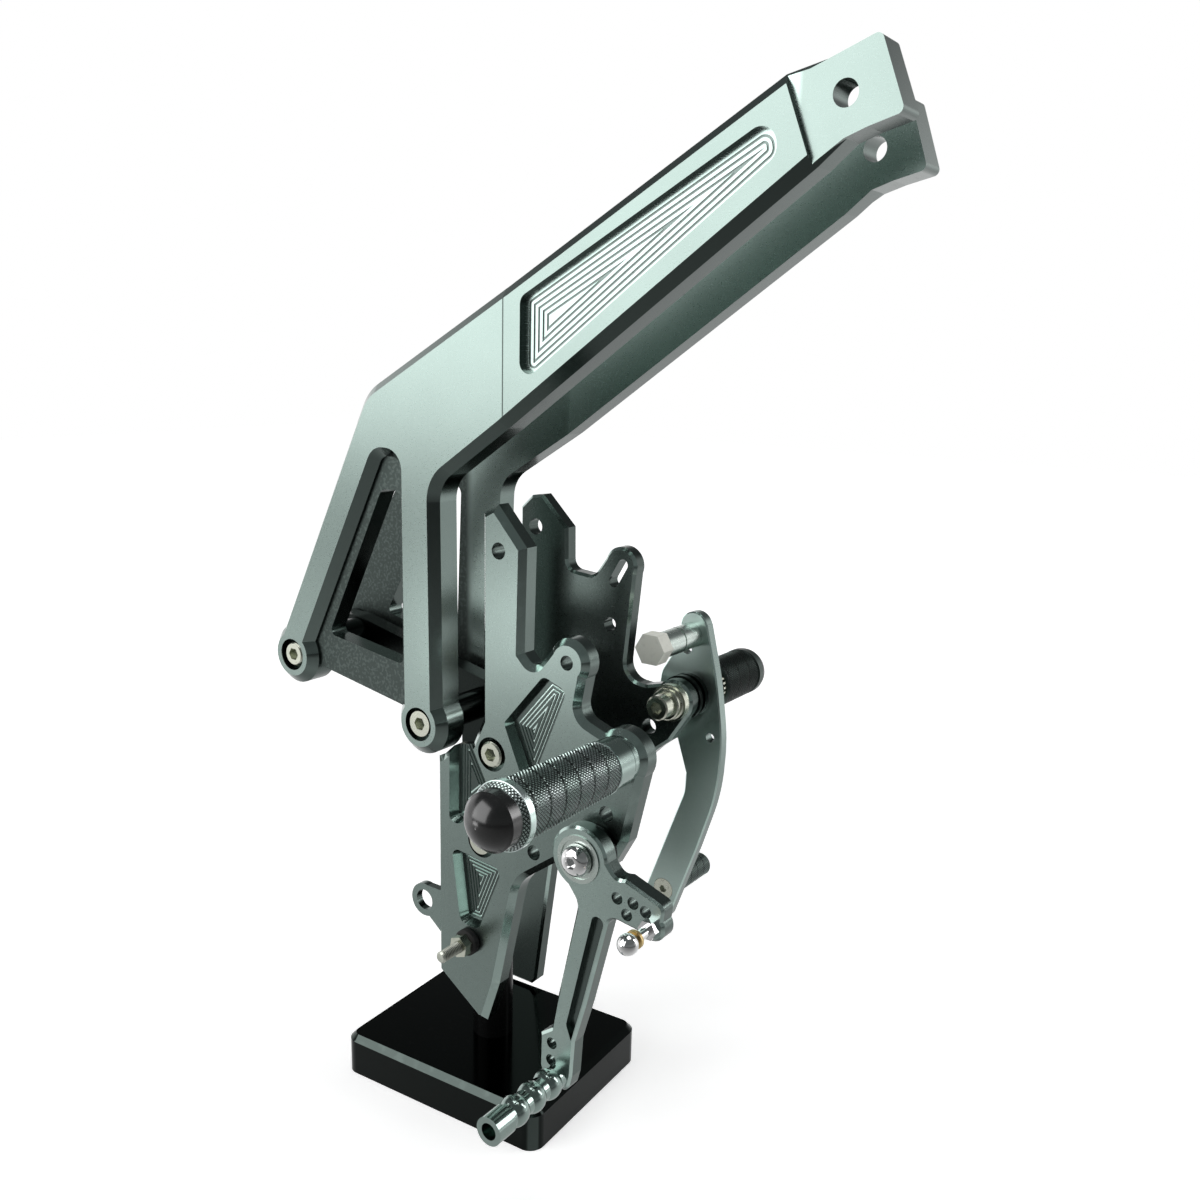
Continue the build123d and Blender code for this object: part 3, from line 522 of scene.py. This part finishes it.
def turned_body(name, place, corners, around, gaps=()):
    """Body turned round the Y axis from (y, radius) corners, open over the listed spans."""
    points = []
    rings = []
    for y, radius in corners:
        count = around if radius else 1
        rings.append([len(points) + step % count for step in range(around)])
        for step in range(count):
            angle = math.tau * step / around
            points.append((place[0] + radius * math.cos(angle), y,
                           place[1] + radius * math.sin(angle)))
    faces = []
    for span in range(len(corners)):
        first = rings[span]
        second = rings[(span + 1) % len(corners)]
        closing = corners[span][1] == 0 and corners[(span + 1) % len(corners)][1] == 0
        if span in gaps or closing:
            continue
        for step in range(around):
            after = (step + 1) % around
            loop = [first[step], first[after], second[after], second[step]]
            faces.append(list(dict.fromkeys(loop)))
    mesh = bpy.data.meshes.new(name)
    mesh.from_pydata(points, [], faces)
    piece = bpy.data.objects.new(name, mesh)
    bpy.context.scene.collection.objects.link(piece)
    return piece


def relief_piece(name, node, body, place, corners, walls, finish):
    """Turned piece with knurled or threaded spans, in place of a plain CAD node."""
    around = walls[0][1]["Around"]
    piece = turned_body(name, place, corners, around, [span for span, sizes in walls])
    for span, sizes in walls:
        (start, start_radius), (end, end_radius) = corners[span], corners[span + 1]
        values = {"Across": place[0], "Height": place[1], "Start": start, "Length": start - end,
                  "Start Radius": start_radius, "End Radius": end_radius, "Finish": finish}
        values.update(sizes)
        modifier = piece.modifiers.new("knurled wall", "NODES")
        modifier.node_group = RELIEF
        for socket in RELIEF.interface.items_tree:
            if socket.name in values:
                modifier[socket.identifier] = values[socket.name]
    graph = bpy.context.evaluated_depsgraph_get()
    mesh = bpy.data.meshes.new_from_object(piece.evaluated_get(graph))
    piece.modifiers.clear()
    piece.data = mesh
    mesh.shade_smooth()
    mesh.set_sharp_from_angle(angle=math.radians(SHARP_DEGREES))
    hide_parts(node)
    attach(piece, body)


def knurling(starts, rows, depth, spiral=(0, 0)):
    """Sizes of a crossed knurl, with a coarse spiral groove where one is given."""
    return {"Starts": starts, "Rows": rows, "Depth": depth, "Crossed": 1.0,
            "Around": STEPS_A_TOOTH * starts, "Along": STEPS_A_TOOTH * rows,
            "Spiral Starts": spiral[0], "Spiral Rows": spiral[1],
            "Spiral Depth": 0.0 if spiral == (0, 0) else 0.9, "Spiral Sharpness": 7.0}


STAND = "stand_and_plates"
# The corners are (y, radius) in metres; each wall names the corner that it starts from
relief_piece(
    "knurled_left_peg", "left_peg_barrel", STAND, LEFT_PEG,
    [(-0.059, 0.0114), (-0.0598, 0.0122), (-0.121, 0.0136), (-0.121, 0.0137),
     (-0.1218, 0.0145), (-0.1250, 0.0145), (-0.1274, 0.0123), (-0.1274, 0.0075),
     (-0.1114, 0.0075), (-0.1114, 0.00425), (-0.059, 0.00425)],
    [(1, knurling(44, 33, 0.0006, (2, 6))), (5, knurling(44, 2, 0.0004))],
    peg_finish,
)
relief_piece(
    "knurled_right_peg", "right_peg_barrel", STAND, RIGHT_PEG,
    [(0.1229, 0.013), (0.1189, 0.013), (0.1189, 0.0115), (0.1179, 0.0115), (0.1179, 0.013),
     (0.0839, 0.013), (0.0829, 0.012), (0.0829, 0.0041), (0.1229, 0.0041)],
    [(4, knurling(44, 18, 0.0006, (2, 3)))],
    dark_peg_finish,
)
relief_piece(
    "knurled_toe_peg", "pedal_toe_peg", "pedal", TOE_PEG,
    [(0.1042, 0.0), (0.1042, 0.00575), (0.1032, 0.00675), (0.0682, 0.00675), (0.0682, 0.0031),
     (0.0842, 0.0031), (0.0842, 0.0)],
    [(2, knurling(30, 24, 0.0004, (2, 5)))],
    toe_finish,
)
THREAD_TURNS = 31
thread = {"Starts": 1, "Rows": THREAD_TURNS, "Depth": 0.0005, "Crossed": 0.0,
          "Around": 32, "Along": STEPS_A_TOOTH * THREAD_TURNS,
          "Spiral Starts": 0, "Spiral Rows": 0, "Spiral Depth": 0.0, "Spiral Sharpness": 1.0}
relief_piece(
    "threaded_stop_stud", "stop_stud", STAND, STOP,
    [(-0.034, 0.0), (-0.034, 0.003), (-0.0652, 0.003), (-0.066, 0.0022), (-0.066, 0.0)],
    [(1, thread)],
    thread_finish,
)


# Floor, world and lamps
def seen_directly(make):
    """1 for the camera and for what shines in metal or shows through glass."""
    seen = make.ray("Camera") + make.ray("Glossy") + make.ray("Transmission")
    return make.maths("MINIMUM", seen, 1.0)


def ahead_of_camera(x, y):
    """How far a place or direction lies along the camera's level view."""
    return x * VIEW_AHEAD[0] + y * VIEW_AHEAD[1]


def stage_floor():
    """White floor that keeps the shadow, and looks darker to metal on the camera's side."""
    mesh = bpy.data.meshes.new("floor")
    low, high = -FLOOR_EDGE, FLOOR_EDGE
    corners = [(low, low, 0), (high, low, 0), (high, high, 0), (low, high, 0)]
    mesh.from_pydata(corners, [], [(0, 1, 2, 3)])
    floor = bpy.data.objects.new("floor", mesh)
    bpy.context.scene.collection.objects.link(floor)
    paper = Finish("pale paper", 0.0, Roughness=0.9, Specular_IOR_Level=0.0)
    x, y = paper.axes(paper.place)[:2]
    away = paper.smooth(paper.maths("SQRT", x * x + y * y), 0.35, 1.3)
    ahead = ahead_of_camera(x, y)
    glowing = paper.smooth(ahead, -0.5, 0.1) * (away * 0.45 + 0.55)
    glowing = paper.maths("MAXIMUM", glowing, paper.ray("Camera"))
    pale = paper.maths("MAXIMUM", paper.smooth(ahead, -0.3, 0.05), 1 - paper.ray("Glossy"))
    paper.wear(paper.mix(pale, grey(0.36), grey(0.8)))
    glow = paper.node("ShaderNodeEmission", {}, {
        "Color": WHITE, "Strength": (FLOOR_GLOW + away * (1 - FLOOR_GLOW)) * glowing,
    })
    plain = Value(paper, paper.surface.outputs[0])
    lit = paper.node("ShaderNodeAddShader", {}, {0: plain, 1: glow})
    mixed = paper.node("ShaderNodeMixShader", {}, {0: seen_directly(paper), 1: plain, 2: lit})
    paper.tree.links.new(mixed.socket, paper.tree.nodes["Material Output"].inputs["Surface"])
    mesh.materials.append(paper.material)


def studio_world():
    """White for the camera; metal sees white ahead, grey behind the camera and darker above."""
    world = bpy.data.worlds.new("studio")
    bpy.context.scene.world = world
    world.use_nodes = True
    sky = Maker(world.node_tree)
    across, along, height = sky.axes(sky.node("ShaderNodeTexCoord", out="Generated"))
    ahead = sky.smooth(ahead_of_camera(across, along), -0.45, 0.2)
    dome = sky.mix(ahead, (0.16, 0.17, 0.17, 1), WHITE)
    dome = sky.mix(sky.smooth(height, 0.22, 0.5), dome, (0.12, 0.13, 0.13, 1))
    dome = sky.mix(sky.ray("Camera"), dome, WHITE)
    strength = seen_directly(sky) * 0.6 + 0.4
    background = world.node_tree.nodes["Background"]
    world.node_tree.links.new(dome.socket, background.inputs["Color"])
    world.node_tree.links.new(strength.socket, background.inputs["Strength"])


def soft_lamp(name, place, target, width, height, power):
    """Area lamp at a place, turned to a target, that the camera doesn't see."""
    data = bpy.data.lights.new(name, "AREA")
    data.shape = "RECTANGLE"
    data.size = width
    data.size_y = height
    data.energy = power
    lamp = bpy.data.objects.new(name, data)
    lamp.location = place
    lamp.rotation_euler = (Vector(target) - Vector(place)).to_track_quat("-Z", "Y").to_euler()
    lamp.visible_camera = False
    bpy.context.scene.collection.objects.link(lamp)


stage_floor()
studio_world()
soft_lamp("key softbox", (-0.45, -0.95, 0.76), (0.0, -0.05, 0.45), 1.2, 1.1, 11)
soft_lamp("low strip", (-0.45, -0.78, 0.07), (0.06, -0.03, 0.28), 0.28, 0.13, 0.5)
soft_lamp("top softbox", (0.1, 0.2, 1.5), (0.0, 0.0, 0.2), 0.9, 0.7, 7)
soft_lamp("back strip", (1.1, 0.9, 0.8), (0.0, 0.0, 0.25), 0.3, 0.9, 4)

# Camera
camera_data = bpy.data.cameras.new("camera")
camera_data.sensor_width = 36
camera_data.lens = 36 * FOCAL_PIXELS / FRAME_PIXELS
camera_data.clip_start = 0.01
camera = bpy.data.objects.new("camera", camera_data)
camera.matrix_world = (
    Matrix.Translation(CAMERA_PLACE)
    @ Matrix.Rotation(math.radians(CAMERA_YAW), 4, "Z")
    @ Matrix.Rotation(math.radians(90 - CAMERA_PITCH), 4, "X")
    @ Matrix.Rotation(math.radians(CAMERA_ROLL), 4, "Z")
)
bpy.context.scene.collection.objects.link(camera)
bpy.context.scene.camera = camera
bpy.context.scene.view_settings.view_transform = "Standard"
